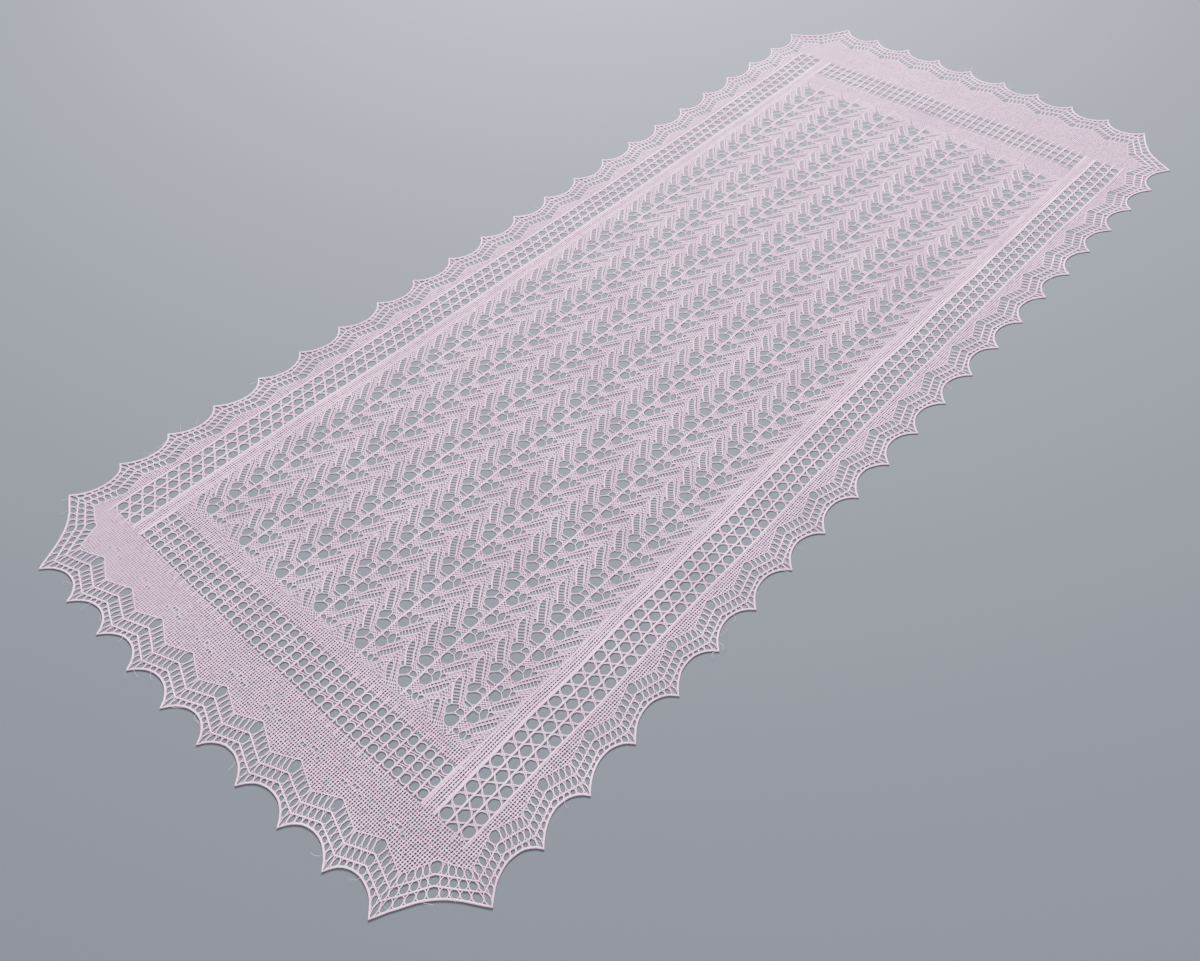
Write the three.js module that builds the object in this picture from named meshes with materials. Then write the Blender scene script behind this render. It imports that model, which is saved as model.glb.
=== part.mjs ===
// A rectangular lace shawl, knitted in fine mohair yarn and blocked flat.
// It lies in one layer with its underside on z = 0, its length along Y and its width along X.
// Every knitted piece is a flat wall of cloth, with a hairline gap where two pieces are grafted.
import * as THREE from 'three';

// ---- Driving sizes, in millimetres ----------------------------------------------------------

const CLOTH = 1.6;                 // thickness of the knitted wall
const SEAM = 0.3;                  // gap between two pieces
const STEP = 45;                   // longest straight run along a bowed edge

const HALF_WIDTH = 348.5;          // centre line to the tips of a long side, before blocking
const HALF_LENGTH = 785;           // centre line to the tips of an end

const LACE_HALF_WIDTH = 235;       // fern lace of the middle
const LACE_NEAR = -625;
const LACE_FAR = 594;
const RIDGE_EDGE = 252;            // outer edge of the close stitches beside the lace
const EYELET_EDGE = 294;           // outer edge of the side eyelets
const EYELETS_NEAR = [-686, -641]; // outer and inner edge of the end eyelets
const EYELETS_FAR = [668, 621];
const BORDER_HALF_LENGTH = 720;    // outer edge of the plain end bands
const CORNER_CUT = [30, 26];       // the plain bands' corners are cut off by this, in X and Y

const SIDE_TIPS = 23;              // points of the scallops down a long side
const END_TIPS = 10;               // points of the scallops across an end
const SIDE_TIP_REACH = 713;        // the last point of a long side, along Y
const END_TIP_REACH = 275;         // the last point of an end, along X
const SIDE_DEPTH = 17.5;           // how far a scallop curves in from its points
const END_DEPTH = 19;
const CORNER_DEPTH = 11;
const ARC_STEPS = 8;               // straight runs in one scallop

// Blocking stretches the ends wider than the middle and bows the ends outwards.
const WAIST = 0.955;               // width at the middle, as a share of the drawn width
const TAPER = -0.0118;             // the far end is pinned narrower than the near one
const FLARE = 0.0333;
const END_BOW = 0.012;

// ---- Materials ------------------------------------------------------------------------------

const YARN = { color: 0xd9c3d1, roughness: 0.9, metalness: 0 };

function yarn(shade) {
  const material = new THREE.MeshStandardMaterial(YARN);
  material.color.multiplyScalar(shade);
  return material;
}

// ---- Outlines -------------------------------------------------------------------------------

// Where blocking moves a point of the drawn pattern.
function blocked(x, y) {
  const along = y / HALF_LENGTH;
  const across = x / HALF_WIDTH;
  const width = WAIST + TAPER * along + FLARE * along * along;
  return new THREE.Vector2(x * width, y * (1 - END_BOW * across * across));
}

// Points from one corner of an outline up to, but not with, the next one.
function run(from, to) {
  const count = Math.max(1, Math.ceil(from.distanceTo(to) / STEP));
  return Array.from({ length: count }, (_, i) => from.clone().lerp(to, i / count));
}

// Points of one round scallop, between the shares `first` and `last` of its chord. It curves
// to the left of the way from `from` to `to`.
function scallop(from, to, depth, first = 0, last = 1) {
  const chord = to.clone().sub(from);
  const inwards = new THREE.Vector2(-chord.y, chord.x).normalize();
  const half = chord.length() / 2;
  const radius = (half * half + depth * depth) / (2 * depth);
  const steps = Math.round(ARC_STEPS * (last - first));
  return Array.from({ length: steps }, (_, i) => {
    const share = first + (last - first) * (i / steps);
    const off = half * (2 * share - 1);
    const rise = Math.sqrt(radius * radius - off * off) - (radius - depth);
    return from.clone().addScaledVector(chord, share).addScaledVector(inwards, rise);
  });
}

// A wall of cloth with the drawn outline, blocked to its final shape.
function cloth(name, outline, shade) {
  const shape = new THREE.Shape(outline.map((point) => blocked(point.x, point.y)));
  const geometry = new THREE.ExtrudeGeometry(shape, { depth: CLOTH, bevelEnabled: false });
  const mesh = new THREE.Mesh(geometry, yarn(shade));
  mesh.name = name;
  return mesh;
}

// A straight band between two X and two Y edges, drawn in by half a seam all round.
function band(name, x, y, shade) {
  const low = new THREE.Vector2(Math.min(...x) + SEAM / 2, Math.min(...y) + SEAM / 2);
  const high = new THREE.Vector2(Math.max(...x) - SEAM / 2, Math.max(...y) - SEAM / 2);
  const corners = [
    new THREE.Vector2(low.x, low.y), new THREE.Vector2(high.x, low.y),
    new THREE.Vector2(high.x, high.y), new THREE.Vector2(low.x, high.y),
  ];
  const outline = corners.flatMap((corner, i) => run(corner, corners[(i + 1) % 4]));
  return cloth(name, outline, shade);
}

// A plain end band, whose outer corners are cut off so that the edging turns the corner.
function outerBand(name, end, inner, shade) {
  const x = EYELET_EDGE - SEAM / 2;
  const y = BORDER_HALF_LENGTH - SEAM / 2;
  const [cutX, cutY] = CORNER_CUT;
  const inside = Math.abs(inner) + SEAM / 2;
  const corners = [
    [-x, inside], [x, inside], [x, y - cutY], [x - cutX, y], [-x + cutX, y], [-x, y - cutY],
  ].map(([cx, cy]) => new THREE.Vector2(cx, end * cy));
  const outline = corners.flatMap((corner, i) => run(corner, corners[(i + 1) % corners.length]));
  return cloth(name, outline, shade);
}

// ---- The edging -----------------------------------------------------------------------------

const cutMiddle = new THREE.Vector2(
  EYELET_EDGE - CORNER_CUT[0] / 2, BORDER_HALF_LENGTH - CORNER_CUT[1] / 2);
const sideTip = new THREE.Vector2(HALF_WIDTH, SIDE_TIP_REACH);
const endTip = new THREE.Vector2(END_TIP_REACH, HALF_LENGTH);

// The right-hand edging, up the outside by its scallops and back down the inside.
function sideOutline() {
  const near = (point) => new THREE.Vector2(point.x, -point.y);
  const gap = new THREE.Vector2(SEAM / 2, 0);
  const tip = (i) => {
    const y = -SIDE_TIP_REACH + (2 * SIDE_TIP_REACH * i) / (SIDE_TIPS - 1);
    return new THREE.Vector2(HALF_WIDTH, y);
  };
  const outside = scallop(near(endTip), near(sideTip), CORNER_DEPTH, 0.5, 1)
    .map((point) => point.addScaledVector(gap, 2));
  for (let i = 0; i < SIDE_TIPS - 1; i += 1) {
    outside.push(...scallop(tip(i), tip(i + 1), SIDE_DEPTH));
  }
  outside.push(...scallop(sideTip, endTip, CORNER_DEPTH, 0, 0.5));
  const mitre = scallop(sideTip, endTip, CORNER_DEPTH, 0.5, 1)[0].addScaledVector(gap, 2);
  const straight = BORDER_HALF_LENGTH - CORNER_CUT[1];
  const inside = [
    mitre,
    cutMiddle.clone().addScaledVector(gap, 2),
    new THREE.Vector2(EYELET_EDGE, straight).add(gap),
    new THREE.Vector2(EYELET_EDGE, -straight).add(gap),
    near(cutMiddle).addScaledVector(gap, 2),
  ];
  const back = inside.slice(0, -1).flatMap((point, i) => run(point, inside[i + 1]));
  return [...outside, ...back, inside.at(-1)];
}

// The far edging, along the outside by its scallops and back along the inside.
function endOutline() {
  const left = (point) => new THREE.Vector2(-point.x, point.y);
  const gap = new THREE.Vector2(0, SEAM / 2);
  const tip = (i) => {
    const x = END_TIP_REACH - (2 * END_TIP_REACH * i) / (END_TIPS - 1);
    return new THREE.Vector2(x, HALF_LENGTH);
  };
  const outside = scallop(sideTip, endTip, CORNER_DEPTH, 0.5, 1)
    .map((point) => point.addScaledVector(gap, 2));
  for (let i = 0; i < END_TIPS - 1; i += 1) {
    outside.push(...scallop(tip(i), tip(i + 1), END_DEPTH));
  }
  outside.push(...scallop(left(endTip), left(sideTip), CORNER_DEPTH, 0, 0.5));
  const mitre = scallop(left(endTip), left(sideTip), CORNER_DEPTH, 0.5, 1)[0];
  const straight = EYELET_EDGE - CORNER_CUT[0];
  const inside = [
    mitre.addScaledVector(gap, 2),
    left(cutMiddle).addScaledVector(gap, 2),
    new THREE.Vector2(-straight, BORDER_HALF_LENGTH).add(gap),
    new THREE.Vector2(straight, BORDER_HALF_LENGTH).add(gap),
    cutMiddle.clone().addScaledVector(gap, 2),
  ];
  const back = inside.slice(0, -1).flatMap((point, i) => run(point, inside[i + 1]));
  return [...outside, ...back, inside.at(-1)];
}

const mirrored = (outline, x, y) => outline.map((p) => new THREE.Vector2(p.x * x, p.y * y));

// ---- The shawl ------------------------------------------------------------------------------

const shawl = new THREE.Group();
const lace = [-LACE_HALF_WIDTH, LACE_HALF_WIDTH];

shawl.add(
  band('centre_panel', lace, [LACE_NEAR, LACE_FAR], 0.92),
  band('inner_band_near', lace, [EYELETS_NEAR[1], LACE_NEAR], 1),
  band('inner_band_far', lace, [LACE_FAR, EYELETS_FAR[1]], 1),
  outerBand('outer_band_near', -1, EYELETS_NEAR[0], 1),
  outerBand('outer_band_far', 1, EYELETS_FAR[0], 1),
);

for (const [side, sign] of [['left', -1], ['right', 1]]) {
  const ridge = [sign * LACE_HALF_WIDTH, sign * RIDGE_EDGE];
  const eyelets = [sign * RIDGE_EDGE, sign * EYELET_EDGE];
  shawl.add(
    band(`ridge_band_${side}`, ridge, [EYELETS_NEAR[0], EYELETS_FAR[0]], 0.98),
    band(`eyelet_band_${side}`, eyelets, [EYELETS_NEAR[0], EYELETS_FAR[0]], 0.84),
    cloth(`edging_${side}`, mirrored(sideOutline(), sign, 1), 0.88),
  );
}

for (const [end, edges, sign] of [['near', EYELETS_NEAR, -1], ['far', EYELETS_FAR, 1]]) {
  shawl.add(
    band(`eyelet_band_${end}`, lace, edges, 0.84),
    cloth(`edging_${end}`, mirrored(endOutline(), 1, sign), 0.88),
  );
}

export default shawl;
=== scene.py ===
# %% [markdown]
# # A knitted lace shawl, blocked flat
# The shawl is one layer of fine mohair knitting: fern lace in the middle, eyelets round it and a
# scalloped net edging. A flat sheet with lace painted on it would give itself away from the side,
# so the openings, rungs and cords here are real. Only the small gaps between neighbouring
# stitches are left to the material.

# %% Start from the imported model
import bpy
import bmesh
import math
import random
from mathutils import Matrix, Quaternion, Vector, noise


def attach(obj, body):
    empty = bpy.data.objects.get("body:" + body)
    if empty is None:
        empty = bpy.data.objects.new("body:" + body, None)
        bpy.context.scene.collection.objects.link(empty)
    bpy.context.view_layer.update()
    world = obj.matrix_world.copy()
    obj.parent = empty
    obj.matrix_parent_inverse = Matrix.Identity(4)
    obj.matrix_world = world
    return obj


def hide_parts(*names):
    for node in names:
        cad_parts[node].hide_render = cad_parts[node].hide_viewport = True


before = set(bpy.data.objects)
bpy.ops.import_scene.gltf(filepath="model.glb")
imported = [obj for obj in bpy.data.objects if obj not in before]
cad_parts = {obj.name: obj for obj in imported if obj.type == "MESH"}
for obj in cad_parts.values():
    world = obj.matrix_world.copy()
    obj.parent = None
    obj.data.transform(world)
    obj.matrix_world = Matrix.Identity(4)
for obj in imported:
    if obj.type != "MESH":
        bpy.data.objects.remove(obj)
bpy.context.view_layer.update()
MM = 0.001

# %% [markdown]
# ## Camera
# The camera looks down from beyond the near right-hand corner. It is aimed at a point on the
# cloth and then rolled a little, which is easier to read than three rotation angles.

# %% Place the camera
CAMERA_AT = Vector((0.627, -0.843, 0.887))    # metres
CAMERA_AIM = Vector((0.0995, -0.294, 0.0))
CAMERA_ROLL = math.radians(-2.56)
LENS, SENSOR = 30.92, 36.0      # millimetres

camera = bpy.data.objects.new("camera", bpy.data.cameras.new("camera"))
camera.data.lens, camera.data.sensor_width = LENS, SENSOR
camera.location = CAMERA_AT
aim = (CAMERA_AIM - CAMERA_AT).to_track_quat("-Z", "Y")
camera.rotation_euler = (aim @ Quaternion((0, 0, 1), CAMERA_ROLL)).to_euler()
bpy.context.scene.collection.objects.link(camera)
bpy.context.scene.camera = camera
print(f"camera {(CAMERA_AIM - CAMERA_AT).length:.2f} m from what it looks at")

# %% [markdown]
# ## Floor and light
# Pale yarn on a white floor would vanish, so the floor is a plain pale grey. One large lamp low
# on one side lets each strand throw a short shadow, and a dim sky fills the shadows in.

# %% Lay the floor and hang the lamps
FLOOR_HALF = 3.5                # metres
FLOOR_GREY = (0.066, 0.073, 0.093, 1)
FLOOR_ROUGH = 0.9
SKY_WHITE, SKY_STRENGTH = (1, 1, 1, 1), 0.75
LAMPS = [  # name, place and size in metres, watts
    ("key", Vector((-1.5, 1.5, 1.9)), 0.9, 480),
    ("fill", Vector((1.6, -1.2, 2.4)), 2.2, 80),
]


def lamp(name, place, size, watts):
    """A square lamp that faces the middle of the shawl."""
    light = bpy.data.lights.new(name, "AREA")
    light.size = size
    light.energy = watts
    holder = bpy.data.objects.new(name, light)
    holder.location = place
    holder.rotation_euler = place.to_track_quat("Z", "Y").to_euler()
    bpy.context.scene.collection.objects.link(holder)


plane = bmesh.new()
bmesh.ops.create_grid(plane, x_segments=1, y_segments=1, size=FLOOR_HALF)
floor_mesh = bpy.data.meshes.new("floor")
plane.to_mesh(floor_mesh)
plane.free()
floor = bpy.data.objects.new("floor", floor_mesh)
bpy.context.scene.collection.objects.link(floor)
floor_paint = bpy.data.materials.new("floor_paint")
floor_paint.use_nodes = True
floor_surface = floor_paint.node_tree.nodes["Principled BSDF"]
floor_surface.inputs["Base Color"].default_value = FLOOR_GREY
floor_surface.inputs["Roughness"].default_value = FLOOR_ROUGH
floor_mesh.materials.append(floor_paint)

for settings in LAMPS:
    lamp(*settings)
sky = bpy.data.worlds.new("sky")
sky.use_nodes = True
sky.node_tree.nodes["Background"].inputs["Color"].default_value = SKY_WHITE
sky.node_tree.nodes["Background"].inputs["Strength"].default_value = SKY_STRENGTH
bpy.context.scene.world = sky
print("floor", 2 * FLOOR_HALF, "m wide,", len(LAMPS), "lamps")

# %% [markdown]
# ## Wiring a material
# A material is a graph of small nodes. These helpers add one node each and link it up, so that
# the recipe below reads like sums and not like wiring.

# %% Helpers for materials


def add(tree, kind, *links, **settings):
    """Adds a node, links or sets its first inputs in turn, and gives back its first output."""
    node = tree.nodes.new("ShaderNode" + kind)
    for name, value in settings.items():
        setattr(node, name, value)
    for socket, value in zip(node.inputs, links):
        if isinstance(value, bpy.types.NodeSocket):
            tree.links.new(value, socket)
        elif value is not None:
            socket.default_value = value
    return node.outputs[0]


def maths(tree, operation, *links):
    return add(tree, "Math", *links, operation=operation)


def vectors(tree, operation, *links):
    return add(tree, "VectorMath", *links, operation=operation)


def mixed(tree, first, second, share):
    """A share of the first value, and the rest of the second."""
    rest = maths(tree, "MULTIPLY", second, 1 - share)
    return maths(tree, "MULTIPLY_ADD", first, share, rest)


def speckle(tree, source, scale, detail=2.0):
    """Noise from 0 to 1, with so many cells to the metre."""
    return add(tree, "TexNoise", source, None, scale, detail)


def blend(tree, share, low, high, span):
    """A colour between low and high, where the share runs over a span."""
    ramp = tree.nodes.new("ShaderNodeValToRGB")
    for element, colour, at in zip(ramp.color_ramp.elements, (low, high), span):
        element.color, element.position = colour, at
    tree.links.new(share, ramp.inputs["Fac"])
    return ramp.outputs["Color"]


# %% [markdown]
# ## Stitches of the close knitting
# Close knitting has tens of thousands of stitches, too many to model one by one. Its material
# reads the `stitches` map instead, where each whole number is one stitch. It leaves a small gap
# in the middle of every stitch and knows how near the middle of a strand a point lies. That
# nearness raises the strands in the bump. It also makes them lighter, as a painted highlight, and
# the rims of the gaps deeper, as painted shade.

# %% Find the gaps and strands of the stitches
GAP_LONG, GAP_WIDE = 0.52, 0.49  # half a stitch's gap, as shares of the stitch
GAP_UNEVEN = 0.22               # how far the gaps differ in size
SWAY_SCALE, SWAY = 260.0, 0.5   # cells to the metre, and how far a stitch strays, in stitches
WALE_WEIGHT, RUNG_WEIGHT = 2.0, 1.3  # the yarn stands higher along a wale than along a rung


def stitches(tree, place):
    """Two values: 1 where there is yarn and 0 in a gap, and the strand's height, also painted light.
    """
    counted = tree.nodes.new("ShaderNodeUVMap")
    counted.uv_map = "stitches"
    stray = speckle(tree, place, SWAY_SCALE, 1.0).node.outputs["Color"]
    stray = vectors(tree, "SUBTRACT", stray, (0.5, 0.5, 0.5))
    stray = vectors(tree, "MULTIPLY", stray, (SWAY, SWAY, 0.0))
    point = vectors(tree, "ADD", counted.outputs[0], stray)
    chance = add(tree, "TexWhiteNoise", vectors(tree, "FLOOR", point)).node.outputs["Value"]
    inside = vectors(tree, "SUBTRACT", vectors(tree, "FRACTION", point), (0.5, 0.5, 0.0))
    gap = vectors(tree, "MULTIPLY", inside, (1 / GAP_LONG, 1 / GAP_WIDE, 0.0))
    far = vectors(tree, "LENGTH", gap).node.outputs["Value"]
    rim = maths(tree, "MULTIPLY_ADD", chance, -GAP_UNEVEN, 1.0)
    off = add(tree, "SeparateXYZ", inside).node.outputs
    wale = maths(tree, "MULTIPLY", maths(tree, "ABSOLUTE", off["Y"]), WALE_WEIGHT)
    rung = maths(tree, "MULTIPLY", maths(tree, "ABSOLUTE", off["X"]), RUNG_WEIGHT)
    return maths(tree, "GREATER_THAN", far, rim), maths(tree, "MAXIMUM", wale, rung)


# %% [markdown]
# ## Yarn
# Mohair is matt with a soft halo, so its shader is rough with some sheen. The colour drifts a
# little from place to place, as hand-dyed yarn does, and a fine noise raises single fibres. One
# recipe serves both the open strands and the close knitting, so that they share their two colours.
# The close knitting is set deeper overall, as painted shade. It is also lighter along its strands,
# as a painted highlight, and deeper round its gaps, as painted shade.

# %% Mix the yarn
YARN_LIGHT = (0.96, 0.59, 0.85, 1)
YARN_DEEP = (0.40, 0.15, 0.34, 1)
# The close knitting's span starts and ends higher, so it comes out deeper than the open strands:
# painted shade.
OPEN_SPAN, PAINTED_SHADE_CLOSE_SPAN = (0.2, 0.6), (0.35, 1.0)  # shades that run from deep to light
DRIFT_SCALE, FIBRE_SCALE, FIBRE_DETAIL = 14, 1500, 3
# The second share sets how much the strands' height paints the close knitting: a painted highlight
# along them, and painted shade round the gaps.
DRIFT_SHARE, PAINTED_SHADE_SHARE = 0.5, 0.6
FIBRE_HEIGHT = 0.3              # of a fibre on a strand
ROUGH, ROUGH_RANGE = 0.72, 0.2
BUMP, BUMP_DEPTH = 0.7, 0.4 * MM
SHEEN, SHEEN_ROUGH = 0.15, 0.5


def yarn(name, stitched):
    """The yarn, with gaps between the stitches where it is knitted close."""
    material = bpy.data.materials.new(name)
    material.use_nodes = True
    tree = material.node_tree
    surface = tree.nodes["Principled BSDF"]
    place = tree.nodes.new("ShaderNodeTexCoord").outputs["Object"]
    fibre = speckle(tree, place, FIBRE_SCALE, FIBRE_DETAIL)
    shade = mixed(tree, speckle(tree, place, DRIFT_SCALE), fibre, DRIFT_SHARE)
    height, span = fibre, OPEN_SPAN
    if stitched:
        solid, strand = stitches(tree, place)
        tree.links.new(solid, surface.inputs["Alpha"])
        # A painted highlight along the strands, and painted shade round the gaps.
        shade = mixed(tree, strand, shade, PAINTED_SHADE_SHARE)
        height = maths(tree, "MULTIPLY_ADD", fibre, FIBRE_HEIGHT, strand)
        # Painted shade: the close knitting is set deeper than the open strands.
        span = PAINTED_SHADE_CLOSE_SPAN
    colour = blend(tree, shade, YARN_DEEP, YARN_LIGHT, span)
    tree.links.new(colour, surface.inputs["Base Color"])
    rough = maths(tree, "MULTIPLY_ADD", fibre, ROUGH_RANGE, ROUGH)
    tree.links.new(rough, surface.inputs["Roughness"])
    bump = tree.nodes.new("ShaderNodeBump")
    bump.inputs["Strength"].default_value = BUMP
    bump.inputs["Distance"].default_value = BUMP_DEPTH
    tree.links.new(height, bump.inputs["Height"])
    tree.links.new(bump.outputs["Normal"], surface.inputs["Normal"])
    surface.inputs["Sheen Weight"].default_value = SHEEN
    surface.inputs["Sheen Roughness"].default_value = SHEEN_ROUGH
    return material


OPEN_YARN = yarn("open_yarn", stitched=False)
CLOSE_YARN = yarn("close_yarn", stitched=True)
print("yarns:", OPEN_YARN.name, CLOSE_YARN.name)

# %% [markdown]
# ## How the shawl is drawn and blocked
# Every piece is first drawn straight, in millimetres, as it comes off the needles. Blocking then
# pins it out: the ends are stretched wider than the waist and bow outwards a little, and nothing
# stays quite even. One function does that for all pieces, so neighbours always meet.

# %% Sizes of the drawn shawl, in millimetres
HALF_WIDTH, HALF_LENGTH = 348.5, 785.0  # to the tips of the scallops
LACE_HALF_WIDTH, LACE_NEAR, LACE_FAR = 235.0, -625.0, 594.0
RIDGE_EDGE, EYELET_EDGE = 252.0, 294.0  # outer edges of the ridge bands and the side eyelets
EYELETS_NEAR, EYELETS_FAR = (-686.0, -641.0), (621.0, 668.0)
BORDER_HALF_LENGTH = 720.0      # to the outer edges of the plain end bands
CORNER_CUT = (30.0, 26.0)       # what their outer corners lose, across and along
SIDE_TIPS, END_TIPS = 23, 10
SIDE_TIP_REACH, END_TIP_REACH = 713.0, 275.0
SIDE_DEPTH, END_DEPTH, CORNER_DEPTH = 17.5, 19.0, 11.0
WAIST, TAPER, FLARE, END_BOW = 0.955, -0.0118, 0.0333, 0.012

REST = 0.8                      # height of the strands' middles above the floor
YARN_THICK = 1.5                # the thickest open strand
WEAVE_THICK = 0.4               # a wall of close knitting
SLOW_SWAY, FINE_SWAY = 1.7, 0.4  # how far blocking and knitting stray
SLOW_CELL, FINE_CELL = 80, 9    # over what distance they do
noise.seed_set(11)              # the same sway in every run


def blocked(x, y, z=0.0):
    """Where a drawn point lies on the blocked shawl, in metres."""
    slow = noise.noise_vector(Vector((x, y, 0)) / SLOW_CELL) * SLOW_SWAY
    fine = noise.noise_vector(Vector((x, y, 400)) / FINE_CELL) * FINE_SWAY
    x, y = x + slow.x + fine.x, y + slow.y + fine.y
    along, across = y / HALF_LENGTH, x / HALF_WIDTH
    width = WAIST + TAPER * along + FLARE * along * along
    return Vector((x * width, y * (1 - END_BOW * across * across), REST + z)) * MM


print("a near corner is pinned to", blocked(END_TIP_REACH, -HALF_LENGTH))

# %% [markdown]
# ## Drawing a net
# Knitting is a net of wales, which run up the cloth, and rungs, which cross from one to the
# next. A bmesh grid has just that form. Each vertex remembers its column and row, so that a
# later step can find it again after it has moved, and each face is close knitting or open.

# %% Draw nets
CLOSE, OPEN = 0, 1


def drawing(columns, rows, place):
    """A grid whose corner (i, k) is put at place(i, k), and which remembers i and k."""
    net = bmesh.new()
    bmesh.ops.create_grid(net, x_segments=columns, y_segments=rows, size=0.5)
    column, row = net.verts.layers.int.new("column"), net.verts.layers.int.new("row")
    net.faces.layers.int.new("kind")
    net.loops.layers.uv.new("stitches")
    net.verts.layers.deform.verify()
    for vert in net.verts:
        i, k = round((vert.co.x + 0.5) * columns), round((vert.co.y + 0.5) * rows)
        vert[column], vert[row] = i, k
        vert.co = Vector((*place(i, k), 0.0))
    return net


def map_stitches(net, stitch):
    """Counts stitches on the net: stitch(vert) gives the rows and wales up to a vertex."""
    uv = net.loops.layers.uv["stitches"]
    for face in net.faces:
        for loop in face.loops:
            loop[uv].uv = stitch(loop.vert)


def thicken(net, share):
    """Sets each vertex's strand thickness, as a share of the thickest yarn."""
    deform = net.verts.layers.deform.verify()
    for vert in net.verts:
        vert[deform][0] = share(vert)


def trim(net, point, outwards):
    """Cuts off what lies outwards of a point."""
    bmesh.ops.bisect_plane(net, geom=net.verts[:] + net.edges[:] + net.faces[:],
                           plane_co=point, plane_no=outwards, clear_outer=True)


# %% [markdown]
# ## Knitting a drawing
# Close knitting stays a wall and is given its thickness by Solidify. Open faces are lost but
# keep their edges, which the Wireframe modifier turns into closed strands. Both modifiers keep
# the drawing itself simple, and neighbouring strands join without a seam.

# %% Turn nets into pieces
PIECES = []


def new_piece(name, mesh, node, material, smooth=True):
    """Links a mesh as a piece that stands for a CAD node."""
    piece = bpy.data.objects.new(name, mesh)
    bpy.context.scene.collection.objects.link(piece)
    mesh.materials.clear()
    mesh.materials.append(material)
    for polygon in mesh.polygons:
        polygon.use_smooth = smooth
    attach(piece, "root")
    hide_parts(node)
    PIECES.append(piece)
    return piece


def kept(net, kind, low, high):
    """A blocked copy of the net's faces of one kind, between two places along Y."""
    part = net.copy()
    layer = part.faces.layers.int["kind"]
    lost = [face for face in part.faces
            if face[layer] != kind or not low <= face.calc_center_median().y < high]
    bmesh.ops.delete(part, geom=lost, context="FACES")
    for vert in part.verts:
        vert.co = blocked(*vert.co)
    return part


def knit(name, net, node, low=-math.inf, high=math.inf, also=()):
    walls, strands = kept(net, CLOSE, low, high), kept(net, OPEN, low, high)
    mesh = bpy.data.meshes.new(name + "_cloth")
    walls.to_mesh(mesh)
    area = sum(face.calc_area() for face in walls.faces)
    cloth = new_piece(name + "_cloth", mesh, node, CLOSE_YARN, smooth=False)
    wall = cloth.modifiers.new("wall", "SOLIDIFY")
    wall.thickness, wall.offset = WEAVE_THICK * MM, 0
    parts = list(also)
    if strands.faces:
        mesh = bpy.data.meshes.new(name + "_yarn")
        strands.to_mesh(mesh)
        yarns = new_piece(name + "_yarn", mesh, node, OPEN_YARN)
        yarns.vertex_groups.new(name="thickness")
        wires = yarns.modifiers.new("strands", "WIREFRAME")
        wires.thickness, wires.offset = YARN_THICK * MM, 0
        wires.vertex_group = "thickness"
        wires.use_boundary, wires.use_even_offset = True, False
        parts.insert(0, yarns)
    walls.free()
    strands.free()
    print(f"{cloth.name}: {area:.4f} m2 of close knitting, and {[part.name for part in parts]}")


# %% [markdown]
# ## Cords
# Ribs, spines and the scalloped edge run on for a long way at one thickness. Each is a curve
# with a round section, which follows its points more evenly than a wireframe would. The curves
# become meshes at once, and all the cords of one kind in a band are one piece.

# %% Lay cords
STRAIGHT_RUN = 12.0             # longest straight run of a rib, in millimetres


def upright_line(x, low, high, step=STRAIGHT_RUN):
    """A straight drawn line along Y."""
    count = max(1, round((high - low) / step))
    return [(x, low + (high - low) * k / count) for k in range(count + 1)]


def cords(name, lines, node, facets=1):
    """Round cords, each given as its thickness and its drawn points (x, y) or (x, y, rise)."""
    curve = bpy.data.curves.new(name, "CURVE")
    curve.dimensions = "3D"
    curve.bevel_depth, curve.bevel_resolution = 0.5 * MM, facets
    curve.use_fill_caps = True
    for thick, line in lines:
        spline = curve.splines.new("POLY")
        spline.points.add(len(line) - 1)
        for point, (x, y, *up) in zip(spline.points, line):
            point.radius = thick
            rise = up[0] if up else max(0.0, thick / 2 - REST)
            point.co = (*blocked(x, y, rise), 1)
    holder = bpy.data.objects.new(name + "_line", curve)
    bpy.context.scene.collection.objects.link(holder)
    mesh = bpy.data.meshes.new_from_object(holder)
    bpy.data.objects.remove(holder)
    bpy.data.curves.remove(curve)
    mesh.name = name
    print(name, len(lines), "cords,", len(mesh.polygons), "faces")
    return new_piece(name, mesh, node, OPEN_YARN)


# %% [markdown]
# ## Openings push the stitches apart
# A yarn-over leaves a round opening because the yarn round it is under tension. Here each
# opening is an ellipse, and a vertex at a share q of its radius moves out to the cube root of
# q cubed plus one. A vertex inside lands on the rim, and a distant one hardly moves.

# %% Push stitches off an opening
PUSH_POWER = 3
PUSH_NEAREST, PUSH_REACH = 0.001, 4.0  # shares of the radius between which a vertex moves


def turned(x, y, tilt):
    """A point seen along an axis that is tilted by so many degrees."""
    cos, sin = math.cos(math.radians(tilt)), math.sin(math.radians(tilt))
    return x * cos + y * sin, y * cos - x * sin


def pushed(x, y, openings):
    """How far (x, y) moves off openings of (x, y, half length, half width, tilt)."""
    move = Vector((0.0, 0.0))
    for middle_x, middle_y, long, wide, tilt in openings:
        u, w = turned(x - middle_x, y - middle_y, tilt)
        share = math.hypot(u / long, w / wide)
        if PUSH_NEAREST < share < PUSH_REACH:
            grow = (share ** PUSH_POWER + 1) ** (1 / PUSH_POWER) / share - 1
            move += Vector(turned(u * grow, w * grow, -tilt))
    return move


# %% [markdown]
# ## The fern's chart
# The middle repeats one fern: a bright spine with leaflets rising to both sides, half a step
# apart. A knitter reads it from a chart, and so does this cell. Wales slope up from each spine
# to the ridges between the ferns. Holes are charted by their place beside the spine, and
# ladders by the lane between two wales that they follow.

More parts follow.
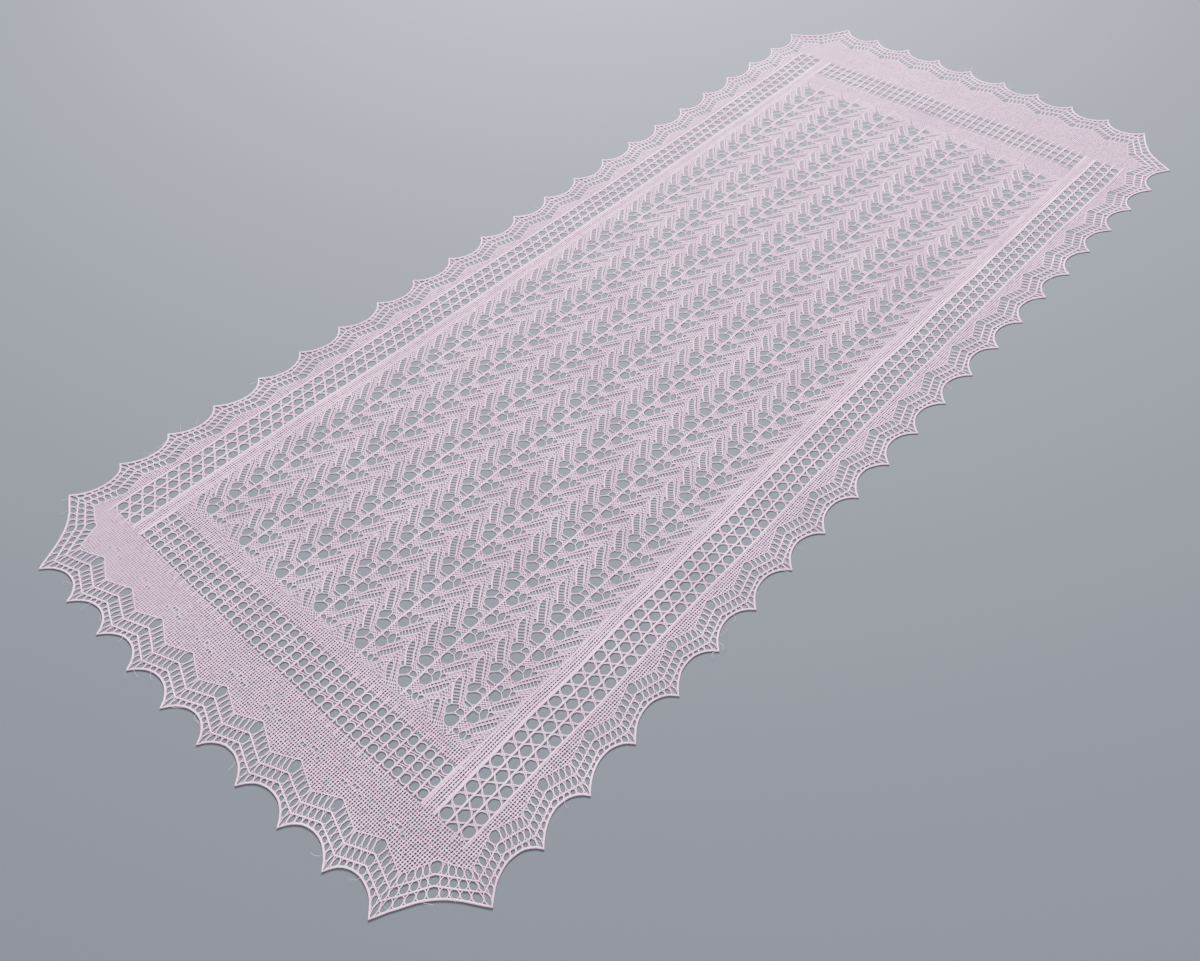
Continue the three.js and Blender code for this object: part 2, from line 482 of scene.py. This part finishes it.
# %% Chart the fern
REPEATS = 7
REPEAT = 2 * LACE_HALF_WIDTH / REPEATS
PERIOD = 30.0                   # height of one leaflet
LANES = 8                       # lanes between wales in one leaflet
PITCH = PERIOD / LANES
STEPS = 16                      # stitches from a spine to a ridge
RISE = 42.0                     # how far a wale climbs from spine to ridge
CURL = 1.2                      # wales leave the spine flatter than they reach the ridge
LEFT, RIGHT = -1, 1
HALVES = {LEFT: 0.54 * REPEAT, RIGHT: 0.46 * REPEAT}
FIRST_HOLE = -611.0             # middle of the first big hole left of a spine
PLAIN_NEAR, PLAIN_FAR = 6.0, 18.0  # the lace starts and ends with so much plain knitting

HOLES = [  # side, across from the spine, up, half length, half width, tilt
    (LEFT, 7.6, 0.0, 7.0, 5.8, -20), (LEFT, 7.6, 9.2, 4.4, 2.8, -20),
    (LEFT, 15.4, 8.0, 6.2, 3.8, -45), (LEFT, 22.6, 13.4, 3.8, 2.7, -50),
    (LEFT, 7.0, -8.0, 4.6, 1.6, 0),
    (RIGHT, 6.2, 0.0, 5.7, 5.4, 0), (RIGHT, 5.6, 8.0, 3.6, 2.7, -10),
    (RIGHT, 12.4, 7.6, 5.3, 3.3, -60), (RIGHT, 18.0, 12.4, 3.8, 2.5, -60),
    (RIGHT, 22.6, 17.2, 2.8, 1.9, -60), (RIGHT, 4.8, -7.6, 3.4, 1.4, 0),
]
LADDERS = [  # side, lane, first and last step
    (LEFT, 4, 7, 16), (LEFT, 6, 6.5, 14.5), (RIGHT, 5, 7.5, 16), (RIGHT, 7, 7, 14.5),
]
LANE_WIDTHS = {  # in pitches, where the ladders run
    LEFT: (0.65, 0.60, 0.40, 0.40, 3.55, 0.45, 1.40, 0.55),
    RIGHT: (0.55, 0.55, 0.45, 0.40, 0.40, 3.70, 0.45, 1.50),
}
WIDEST = {LEFT: 4, RIGHT: 5}    # the lane that takes the most room
FAN_OUT = ((5.5, 8.5), (14.4, 16.0))  # steps over which lanes take their widths, and give back


def side_of(step):
    return LEFT if step < 0 else RIGHT


def beside_spine(column):
    """The spine that a column belongs to, and its steps from it, to the right if positive."""
    fern, step = divmod(column, 2 * STEPS)
    return -LACE_HALF_WIDTH + fern * REPEAT + HALVES[LEFT], step - STEPS


def leaflet_row(row, side):
    """A row counted from a big hole. Those on the right sit half a leaflet higher."""
    return row - (LANES // 2 if side == RIGHT else 0)


def folded(y, side):
    """A height within the leaflet: 0 at the big hole, up to half a leaflet either way."""
    shift = PERIOD / 2 if side == RIGHT else 0.0
    return (y - FIRST_HOLE - shift + PERIOD / 2) % PERIOD - PERIOD / 2


def climb(step):
    """How high a wale has climbed, so many steps from the spine."""
    return ((step / STEPS) ** CURL - 0.5) * RISE


def lane_height(lane, step):
    """How high the middle of a lane is, so many steps from the spine."""
    return (lane + 0.5) * PITCH + climb(step)


print(REPEATS, "ferns,", len(HOLES), "holes and", len(LADDERS), "ladders in each pair of leaflets")

# %% [markdown]
# ## The lace's wales and rungs
# On the needles every stitch is linked to the one below it and to its neighbours. The grid's
# rows are the wales, bent up from the spine. Cutting each cell along its short diagonal, and
# leaving out the upright sides, makes rungs that cross the sloping wales squarely.

# %% Draw the wales and rungs
FERN_COLUMNS = 2 * STEPS * REPEATS
FERN_START = FIRST_HOLE - 2 * PERIOD
FERN_ROWS = math.ceil((LACE_FAR - FERN_START + RISE) / PITCH)


def fern_place(column, row):
    spine, step = beside_spine(column)
    across = step / STEPS * HALVES[side_of(step)]
    return spine + across, FERN_START + row * PITCH + climb(abs(step))


fern = drawing(FERN_COLUMNS, FERN_ROWS, fern_place)
fern_column, fern_row = fern.verts.layers.int["column"], fern.verts.layers.int["row"]
fern_kind = fern.faces.layers.int["kind"]
bmesh.ops.triangulate(fern, faces=fern.faces[:], quad_method="SHORT_EDGE")
upright = [edge for edge in fern.edges if len(edge.link_faces) == 2
           and edge.verts[0][fern_column] == edge.verts[1][fern_column]
           and edge.verts[0][fern_column] % STEPS]
bmesh.ops.dissolve_edges(fern, edges=upright, use_verts=False)
print("fern stitches:", len(fern.faces))

# %% [markdown]
# ## Holes and ladders
# A hole is one yarn-over, so all the stitches that it covers become one open face. A ladder is
# a lane where the rungs are left bare between two wales. Its stitches stay apart, and each of
# them is open, so that the rungs survive as strands.

# %% Find the stitches that each opening takes
HOLE_GROW = 0.25                # how far past a hole's rim a stitch is still taken
LANE_SHARE = 0.3                # how near a lane's middle a ladder's stitch lies, in pitches


def hole_at(across, up, side):
    """The number of the hole that covers a place beside the spine, or None."""
    found = []
    for number, (hole_side, x, y, long, wide, tilt) in enumerate(HOLES):
        u, w = turned(across - x, up - y, tilt)
        share = math.hypot(u / (long + HOLE_GROW), w / (wide + HOLE_GROW))
        if hole_side == side and share < 1:
            found.append((share, number))
    return min(found)[1] if found else None


def on_ladder(across, up, side):
    """Whether a place beside the spine lies in the lane of a ladder."""
    step = across / HALVES[side] * STEPS
    for ladder_side, lane, first, last in LADDERS:
        off = (up - lane_height(lane, step) + PERIOD / 2) % PERIOD - PERIOD / 2
        if ladder_side == side and first < step < last and abs(off) < LANE_SHARE * PITCH:
            return True
    return False


taken = {}
for face in fern.faces:
    middle = face.calc_center_median()
    if not LACE_NEAR + PLAIN_NEAR < middle.y < LACE_FAR - PLAIN_FAR:
        continue
    spine, step = beside_spine(min(vert[fern_column] for vert in face.verts))
    side = side_of(step)
    spot = (abs(middle.x - spine), folded(middle.y, side), side)
    number = hole_at(*spot)
    if number is not None:
        taken.setdefault(number, []).append(face)
    if number is not None or on_ladder(*spot):
        face[fern_kind] = OPEN
for faces in taken.values():
    bmesh.ops.dissolve_faces(fern, faces=faces, use_verts=True)
print("stitches left after the holes:", len(fern.faces))

# %% [markdown]
# ## Tension
# Tension draws the stitches off the holes and gathers them beside the ladders. First each
# vertex is pushed off the holes, then a round of smoothing evens out the strands, and last the
# lanes take their widths. Lanes widen square to their wales: widened straight up, a ladder's
# rungs would lean over until they ran along it.

# %% Push the stitches off the openings, and trim the lace to its length
CALM_ROUNDS, CALM = 1, 0.5      # rounds of smoothing, and how strong each one is
FADE = 16.0                     # how far from its ends the lace comes to rest
UNEVEN, UNEVEN_CELL = 0.25, 25  # how far the openings differ in size, and over what distance
SPINE_SHARE, STRAND = 0.9, 0.48  # thickness, as shares of the thickest yarn


def end_ease(y):
    """1 within the lace, falling to 0 at its ends, which stay straight."""
    from_end = min(y - LACE_NEAR, LACE_FAR - y)
    return min(max(from_end / FADE, 0.0), 1.0)


def fern_move(column, x, y):
    """How far the holes push a vertex. One on a spine or a ridge only slides along it."""
    spine, step = beside_spine(column)
    on_line, on_ridge = column % STEPS == 0, column % (2 * STEPS) == 0
    sides = (LEFT, RIGHT) if on_line else (side_of(step),)
    move = Vector((0.0, 0.0))
    for side in sides:
        across = HALVES[side] if on_ridge else abs(x - spine)
        holes = [hole[1:] for hole in HOLES if hole[0] == side]
        for turn in (-PERIOD, 0.0, PERIOD):
            part = pushed(across, folded(y, side) + turn, holes)
            move += Vector((0.0 if on_line else side * part.x, part.y / len(sides)))
    return move


def lane_move(row, side, step):
    """How far a vertex moves, square to its wale, so that each lane gets its width."""
    (start, full), (close, end) = FAN_OUT
    ease = min((step - start) / (full - start), (end - step) / (end - close), 1.0)
    lane = leaflet_row(row, side) % LANES
    widths, widest = LANE_WIDTHS[side], WIDEST[side]
    centre = sum(widths[:widest]) + widths[widest] / 2 - (widest + 0.5)
    up = max(ease, 0.0) * (sum(widths[:lane]) - lane - centre) * PITCH
    slope = math.atan(CURL * (step / STEPS) ** (CURL - 1) * RISE / HALVES[side])
    return Vector((-side * math.sin(slope), math.cos(slope))) * up * math.cos(slope)


moves = {}
for vert in fern.verts:
    key = (vert[fern_column] % (2 * STEPS), vert[fern_row] % LANES)
    if key not in moves:
        moves[key] = fern_move(vert[fern_column], vert.co.x, vert.co.y)
    uneven = 1 + UNEVEN * noise.noise(Vector((vert.co.x, vert.co.y, 900)) / UNEVEN_CELL)
    vert.co.xy += moves[key] * end_ease(vert.co.y) * uneven
loose = [vert for vert in fern.verts if vert[fern_column] % STEPS and not vert.is_boundary]
for _ in range(CALM_ROUNDS):
    bmesh.ops.smooth_vert(fern, verts=loose, factor=CALM, use_axis_x=True, use_axis_y=True)
for vert in fern.verts:
    step = beside_spine(vert[fern_column])[1]
    vert.co.xy += lane_move(vert[fern_row], side_of(step), abs(step)) * end_ease(vert.co.y)


def fern_stitch(vert):
    """Rungs and wales counted from the spine, so that the stitches follow the leaflets."""
    step = abs(beside_spine(vert[fern_column])[1])
    return step + vert[fern_row], vert[fern_row]


map_stitches(fern, fern_stitch)
thicken(fern, lambda vert: STRAND if vert[fern_column] % STEPS else SPINE_SHARE)
trim(fern, (0, LACE_NEAR, 0), (0, -1, 0))
trim(fern, (0, LACE_FAR, 0), (0, 1, 0))
print("fern vertices after the trim:", len(fern.verts))

# %% [markdown]
# ## Crests and spines
# Where wales gather, the cloth stands up in a bright crest below each wide ladder, and brighter
# still along each spine. The crests are read off the net by row, so they follow the stitches
# exactly, and a cord is laid along each of them.

# %% Knit the lace in three lengths, then lay its crests and spines
CREST_FROM = 8                  # the step where a crest starts
CREST, SPINE = 1.5, 1.7         # thickness
CREST_EVERY = 2                 # a crest follows every second stitch
SHORT_CREST = 4                 # a crest of no more stitches is left out
FERN_CUTS = (LACE_NEAR, -220.0, 190.0, LACE_FAR)
CUT_BELOW = 1.0                 # how far below each cut the stitches are parted

crests = {}
for vert in fern.verts:
    spine, step = beside_spine(vert[fern_column])
    side = side_of(step)
    row = leaflet_row(vert[fern_row], side)
    inside = LACE_NEAR + FADE < vert.co.y < LACE_FAR - FADE
    if row % LANES == WIDEST[side] and CREST_FROM <= abs(step) < STEPS and inside:
        crests.setdefault((spine, side, row), []).append((abs(step), vert.co.x, vert.co.y))
crest_lines = [(CREST, [(x, y) for _, x, y in sorted(line)][::CREST_EVERY])
               for line in crests.values() if len(line) > SHORT_CREST]

for part, low, high in zip(("near", "middle", "far"), FERN_CUTS, FERN_CUTS[1:]):
    top = math.inf if part == "far" else high - CUT_BELOW
    knit("fern_lace_" + part, fern, "centre_panel",
         low - CUT_BELOW, top)
fern.free()

spines = [beside_spine(STEPS + 2 * STEPS * n)[0] for n in range(REPEATS)]
spine_lines = [(SPINE, upright_line(x, LACE_NEAR, LACE_FAR)) for x in spines]
cords("fern_crests", crest_lines, "centre_panel", facets=0)
cords("fern_spines", spine_lines, "centre_panel")

# %% [markdown]
# ## Plain bands
# Round the lace the knitting is plain. Each band is a coarse grid, because the material draws
# its stitches: it only has to be fine enough to follow the blocking. The outer bands also have
# a few small eyelets behind each valley of the end scallops, so their cells are eyelet-sized.

# %% Knit the plain bands
WALE, ROW = 2.9, 3.0            # one stitch, across and up
BAND_CELL = (8.0, 8.0)
SMALL_CELL = (3.9, 4.25)        # holds one small eyelet
BAND_STRAND = 0.6               # thickness round the small eyelets, as a share of the thickest
SMALL_EYELETS = [  # row from the outer edge, nearest and farthest from a valley, in scallops
    (0, 0.13, 0.22), (1, 0.0, 0.06),
]
LACE_SPAN = (-LACE_HALF_WIDTH, LACE_HALF_WIDTH)
BORDER_SPAN = (-EYELET_EDGE, EYELET_EDGE)
SIDE_SPAN = (EYELETS_NEAR[0], EYELETS_FAR[1])


def plain_stitch(vert):
    return vert.co.y / ROW, vert.co.x / WALE


def small_eyelet(x, y):
    """Whether the cell at (x, y) of an outer band is a small eyelet."""
    along = (x / (EYELET_EDGE - CORNER_CUT[0]) + 1) * (END_TIPS - 1) / 2
    from_valley = abs(along % 1 - 0.5)
    row = round((BORDER_HALF_LENGTH - abs(y)) / SMALL_CELL[1] - 0.5)
    return any(row == where and near <= from_valley < far for where, near, far in SMALL_EYELETS)


def plain_band(name, x_edges, y_edges, node, cell=BAND_CELL, outer=False):
    """A rectangle of close knitting. Outer bands have small eyelets, and lose two corners."""
    (left, right), (low, high) = x_edges, y_edges
    columns = max(1, round((right - left) / cell[0]))
    rows = max(1, round((high - low) / cell[1]))

    def place(i, k):
        return left + (right - left) * i / columns, low + (high - low) * k / rows

    band = drawing(columns, rows, place)
    if outer:
        kind = band.faces.layers.int["kind"]
        for face in band.faces:
            if small_eyelet(*face.calc_center_median().xy):
                face[kind] = OPEN
        end = math.copysign(1, low)
        for side in (LEFT, RIGHT):
            corner = (side * right, end * (BORDER_HALF_LENGTH - CORNER_CUT[1]), 0)
            trim(band, corner, (side * CORNER_CUT[1], end * CORNER_CUT[0], 0))
    map_stitches(band, plain_stitch)
    thicken(band, lambda vert: BAND_STRAND)
    knit(name, band, node)
    band.free()


plain_band("inner_plain_near", LACE_SPAN, (EYELETS_NEAR[1], LACE_NEAR), "inner_band_near")
plain_band("inner_plain_far", LACE_SPAN, (LACE_FAR, EYELETS_FAR[0]), "inner_band_far")
plain_band("outer_plain_near", BORDER_SPAN, (-BORDER_HALF_LENGTH, EYELETS_NEAR[0]),
           "outer_band_near", SMALL_CELL, outer=True)
plain_band("outer_plain_far", BORDER_SPAN, (EYELETS_FAR[1], BORDER_HALF_LENGTH),
           "outer_band_far", SMALL_CELL, outer=True)
plain_band("ridge_left", (-RIDGE_EDGE, -LACE_HALF_WIDTH), SIDE_SPAN, "ridge_band_left")
plain_band("ridge_right", (LACE_HALF_WIDTH, RIDGE_EDGE), SIDE_SPAN, "ridge_band_right")

# %% [markdown]
# ## Ridge bands
# Beside the lace a few wales stand up as close ridges, which keep the long sides from
# stretching. Each is a cord laid on the plain band under it.

# %% Raise the wales of the ridge bands
RIDGE_WALES, RIDGE_YARN = 5, 1.1
RIDGE_RUN = 14.0                # longest straight run of a ridge

for name, sign in (("left", LEFT), ("right", RIGHT)):
    apart = (RIDGE_EDGE - LACE_HALF_WIDTH) / RIDGE_WALES
    wales = [sign * (LACE_HALF_WIDTH + apart * (n + 0.5)) for n in range(RIDGE_WALES)]
    lines = [(RIDGE_YARN, upright_line(x, *SIDE_SPAN, RIDGE_RUN)) for x in wales]
    cords("ridge_wales_" + name, lines, "ridge_band_" + name, facets=0)

# %% [markdown]
# ## Eyelet bands
# Ribs run straight through the eyelets and fade into the plain knitting. Down the sides, a yarn
# between two ribs hugs one rib beside each eyelet and crosses to the other before the next. Its
# partner does the reverse, so an eyelet opens where they part. Both yarns are doubled, which
# makes the crossings a small net. Across the ends, arcs close each eyelet over and under.

# %% Lay the ribs and the yarns between them
RIB, CROSSING, OVER = 2.0, 0.65, 0.95  # thickness
RIB_END = 7.0                   # how far a thinner rib runs on into the plain bands
POINTS = 5                      # points of a crossing yarn in each eyelet
HUG = 0.6                       # how near a rib's middle a crossing yarn comes
DOUBLE = 1.1                    # half the distance between doubled yarns
EYE_STRAIGHT, EYE_ARC = 0.5, 4.9  # half an end eyelet: its straight sides, and its arc
ARC_RUNS = 6                    # straight runs in an arc
SLANT = 1.3                     # how far the rung between two end eyelets leans
SIDE_COLUMNS, SIDE_EYELETS = 3, 84
END_COLUMNS, END_ROWS = 41, 3


def crossing_yarns(middle, wide, low, pitch, count, start):
    """Four yarns that part and cross round a column of eyelets."""
    yarns = []
    for way in (-1, 1):
        for shift in (-DOUBLE, DOUBLE):
            line = []
            for n in range(POINTS * count + 1):
                turn = math.pi * (n / POINTS - 0.5 - start)
                swing = math.sin(math.pi / 2 * math.cos(turn))
                lag = shift * (1 - abs(swing))
                line.append((middle + way * wide * swing, low + n / POINTS * pitch + lag))
            yarns.append((CROSSING, line))
    return yarns


def rungs(middle, wide, low, pitch, count):
    """The arcs over and under the eyelets of one column, and the rungs between them."""
    found = []
    for n in range(count):
        eye = low + (n + 0.5) * pitch
        for way in (-1, 1):
            arc = []
            for t in range(ARC_RUNS + 1):
                angle = math.pi * t / ARC_RUNS
                up = EYE_STRAIGHT + EYE_ARC * math.sin(angle)
                arc.append((middle + wide * math.cos(angle), eye + way * up))
            found.append((OVER, arc))
        if n:
            under = eye - pitch / 2
            found.append((CROSSING, [(middle - wide, under - SLANT), (middle + wide, under + SLANT)]))
    return found


def eyelet_band(place, across, along, columns, count, crossed):
    """Columns of eyelets between ribs, with crossing yarns or with arcs and rungs."""
    (left, right), (low, high) = across, along
    name, node = "eyelets_" + place, "eyelet_band_" + place
    gap, pitch = (right - left) / columns, (high - low) / count
    ribs, lines = [], []
    for n in range(columns + 1):
        x = left + gap * n
        ribs.append((RIB, upright_line(x, low, high)))
        lines.append((OVER, [(x, low - RIB_END), (x, low)]))
        lines.append((OVER, [(x, high), (x, high + RIB_END)]))
    for n in range(columns):
        middle = left + gap * (n + 0.5)
        if crossed:
            lines += crossing_yarns(middle, gap / 2 - HUG, low, pitch, count, n % 2 / 2)
        else:
            lines += rungs(middle, gap / 2, low, pitch, count)
    cords(name + "_ribs", ribs, node)
    cords(name + "_crossings", lines, node, facets=0)


for name, sign in (("left", LEFT), ("right", RIGHT)):
    edges = sorted((sign * RIDGE_EDGE, sign * EYELET_EDGE))
    eyelet_band(name, edges, SIDE_SPAN, SIDE_COLUMNS, SIDE_EYELETS, crossed=True)
for name, span in (("near", EYELETS_NEAR), ("far", EYELETS_FAR)):
    eyelet_band(name, LACE_SPAN, span, END_COLUMNS, END_ROWS, crossed=False)

# %% [markdown]
# ## The scalloped edging
# The edging is a net knitted on sideways. From the outside in it has a cord that hangs in
# scallops, two zigzag lines, and close triangles whose points reach towards the tips. One
# scallop is drawn between its two tips and the base line, and a share says how deep a line is.

# %% Draw one scallop
LONG_EDGE = {"tips": SIDE_TIPS, "reach": SIDE_TIP_REACH, "out": HALF_WIDTH,
             "base": EYELET_EDGE, "base_reach": BORDER_HALF_LENGTH - CORNER_CUT[1],
             "depth": SIDE_DEPTH}
SHORT_EDGE = {"tips": END_TIPS, "reach": END_TIP_REACH, "out": HALF_LENGTH,
              "base": BORDER_HALF_LENGTH, "base_reach": EYELET_EDGE - CORNER_CUT[0],
              "depth": END_DEPTH}
OUTER, ZIGZAG_1, ZIGZAG_2, TRIANGLES = 0, 1, 2, 3  # the lines, from the outside in
LINE_SHARES = {  # at a tip, and half way between two tips
    ZIGZAG_1: (0.25, 0.43), ZIGZAG_2: (0.44, 0.62), TRIANGLES: (0.65, 0.86),
}


def scallops(edge, other):
    """The scallops of one edge as (tip, tip, base, base, depth), corner scallops included."""
    count = edge["tips"] - 1
    shares = [2 * i / count - 1 for i in range(count + 1)]
    tips = [Vector((edge["reach"] * share, edge["out"])) for share in shares]
    bases = [Vector((edge["base_reach"] * share, edge["base"])) for share in shares]
    for points, across, out in ((tips, "out", "reach"), (bases, "base", "base_reach")):
        points.insert(0, Vector((-other[across], other[out])))
        points.append(Vector((other[across], other[out])))
    depths = [CORNER_DEPTH, *[edge["depth"]] * count, CORNER_DEPTH]
    return [(*tips[i:i + 2], *bases[i:i + 2], depths[i]) for i in range(count + 2)]


def strip_point(scallop, t, share):
    """A point of the edging: t runs from tip to tip, and share from tips to base."""
    return scallop[0].lerp(scallop[1], t).lerp(scallop[2].lerp(scallop[3], t), share)


def cord_share(scallop, t):
    """How deep the outer cord hangs, which is an arc of a circle."""
    half, depth = (scallop[1] - scallop[0]).length / 2, scallop[4]
    radius = (half * half + depth * depth) / (2 * depth)
    rise = math.sqrt(radius ** 2 - (half * (2 * t - 1)) ** 2) - (radius - depth)
    return rise / (strip_point(scallop, t, 1) - strip_point(scallop, t, 0)).length


def line_share(scallop, t, line):
    """How deep a line is."""
    if line == OUTER:
        return cord_share(scallop, t)
    at_tip, at_valley = LINE_SHARES[line]
    return at_tip + (at_valley - at_tip) * (1 - abs(2 * t - 1))


print(len(scallops(LONG_EDGE, SHORT_EDGE)), "scallops on a long edge, corners included")

# %% [markdown]
# ## The net
# Between two lines the cells of the net are round, because each strand has two yarns that part
# where they loop into a line. Behind every valley one cell is much larger than the rest, and
# the strands beside it are pushed off it like the stitches of the lace.

# %% Draw the lines and strands of the net
CORD, ZIGZAG, NET = 1.8, 1.35, 0.7  # thickness
LINES = [  # thickness, and straight runs in a scallop
    (CORD, 14), (ZIGZAG, 4), (ZIGZAG, 4), (NET, 4),
]
NET_COLUMNS = 10                # strands in a scallop
PART = 0.3                      # how far a strand's two yarns part, as a share of a cell
JOINED = ((0.0, 1.0), (0.32, 0.12), (0.68, 0.12), (1.0, 1.0))  # place along it, and parting
LEAN = (0.025, 0.04, 0.045)     # how far a strand leans towards the tips, as a share
LARGE_CELL = (4.8, 4.5)         # half length and half width
FIRST_PLACE, LAST_PLACE = 0.01, 0.99  # nearest places to the tips


def edge_line(found, spans, line, runs):
    """The points of one line along a whole edge."""
    points = []
    for scallop, (first, last) in zip(found, spans):
        count = round(runs * (last - first))
        for n in range(count):
            t = first + (last - first) * n / count
            points.append(strip_point(scallop, t, line_share(scallop, t, line)))
    points.append(strip_point(found[-1], 0.5, line_share(found[-1], 0.5, line)))
    return points


def net_strand(scallop, t, line):
    """The two yarns of a strand that runs from one line to the next."""
    foot_t = t + math.copysign(LEAN[line], t - 0.5)
    behind = (LINE_SHARES[ZIGZAG_2][1] + LINE_SHARES[TRIANGLES][1]) / 2
    large = (*strip_point(scallop, 0.5, behind), *LARGE_CELL, 0)
    yarns = []
    for way in (-1, 1):
        points = []
        for along, parted in JOINED:
            at = t + (foot_t - t) * along + way * PART * parted / NET_COLUMNS
            at = min(max(at, FIRST_PLACE), LAST_PLACE)
            top, foot = line_share(scallop, at, line), line_share(scallop, at, line + 1)
            point = strip_point(scallop, at, top + (foot - top) * along)
            if line == ZIGZAG_2:
                point += pushed(*point, [large])
            points.append(point)
        yarns.append(points)
    return yarns


def edge_net(found, spans):
    """The yarns of all the strands along an edge."""
    yarns = []
    for scallop, (first, last) in zip(found, spans):
        for line in (OUTER, ZIGZAG_1, ZIGZAG_2):
            for n in range(NET_COLUMNS):
                t = (n + 0.5) / NET_COLUMNS
                if first < t < last:
                    yarns += net_strand(scallop, t, line)
    return yarns


# %% [markdown]
# ## The halo
# Mohair is hairy. Most of its halo is too fine to model and is left to the material's sheen, but
# a few fibres stand clear of the edging, where they show against the surface under the shawl.

# %% Draw a loose fibre
FIBRES = 4                      # in a scallop, on average
FIBRE, FIBRE_RISE = 0.13, 2.5   # thickness, and how high the free end stands
FIBRE_RUNS, FIBRE_RUN = 4, 3.2  # straight runs, and the length of each
FIBRE_BEND = 0.6                # most that a fibre turns between two runs, in radians
FIBRE_SHARES = (0.3, 0.9)       # how deep in the net a fibre may start
RANDOM = random.Random(11)


def loose_fibre(found, spans, turn):
    """One fibre that starts on the cord or in the net, and rises towards its free end."""
    scallop, (first, last) = RANDOM.choice(list(zip(found, spans)))
    t = RANDOM.uniform(first, last)
    share = RANDOM.choice((line_share(scallop, t, OUTER), RANDOM.uniform(*FIBRE_SHARES)))
    x, y = strip_point(scallop, t, share)
    heading, bend = RANDOM.uniform(0, 2 * math.pi), RANDOM.uniform(-FIBRE_BEND, FIBRE_BEND)
    points = []
    for n in range(FIBRE_RUNS + 1):
        points.append((*turn((x, y)), FIBRE_RISE * n / FIBRE_RUNS))
        x, y = x + FIBRE_RUN * math.cos(heading), y + FIBRE_RUN * math.sin(heading)
        heading += bend
    return FIBRE, points


# %% [markdown]
# ## All four edges
# One edge runs from the middle of one corner to the middle of the next, where it is mitred to
# its neighbour. All four are drawn as if they lay at the far end, and are then turned into
# place, so the two long edges mirror each other and so do the two short ones.

# %% Lay the cords and knit the triangles
CELLS, CELL_ROWS = 8, 3         # cells of close knitting in a scallop, along and across


def edging(name, edge, other, turn):
    """One edge, with its cords, net, halo and triangles. turn(point) puts it in place."""
    node = "edging_" + name
    found = scallops(edge, other)
    spans = [(0.5, 1.0), *[(0.0, 1.0)] * (len(found) - 2), (0.0, 0.5)]
    lines = [(thick, [turn(point) for point in edge_line(found, spans, line, runs)])
             for line, (thick, runs) in enumerate(LINES)]
    strands = [(NET, [turn(point) for point in points]) for points in edge_net(found, spans)]
    fibres = [loose_fibre(found, spans, turn) for _ in range(FIBRES * len(found))]
    laid = [cords("cords_" + name, lines, node),
            cords("net_" + name, strands, node, facets=0),
            cords("halo_" + name, fibres, node, facets=0)]

    def place(i, k):
        number, cell = divmod(i + CELLS // 2, CELLS)
        scallop, t = found[number], cell / CELLS
        share = line_share(scallop, t, TRIANGLES)
        return turn(strip_point(scallop, t, share + (1 - share) * k / CELL_ROWS))

    band = drawing(CELLS * (len(found) - 1), CELL_ROWS, place)
    map_stitches(band, plain_stitch)
    knit("triangles_" + name, band, node, also=laid)
    band.free()


edging("right", LONG_EDGE, SHORT_EDGE, lambda p: (p[1], p[0]))
edging("left", LONG_EDGE, SHORT_EDGE, lambda p: (-p[1], p[0]))
edging("far", SHORT_EDGE, LONG_EDGE, lambda p: (p[0], p[1]))
edging("near", SHORT_EDGE, LONG_EDGE, lambda p: (p[0], -p[1]))

# %% [markdown]
# ## Triangle count
# The blocked shawl should fill the box of the plain model to within a few millimetres, apart
# from a loose fibre here and there. This cell counts the triangles of each piece.

# %% Count the triangles of each piece
depsgraph = bpy.context.evaluated_depsgraph_get()
total = 0
for piece in PIECES:
    shown = piece.evaluated_get(depsgraph)
    shown.data.calc_loop_triangles()
    count = len(shown.data.loop_triangles)
    total += count
    print(f"{piece.name:26s} {count:8d}")
print("triangles in all:", total)
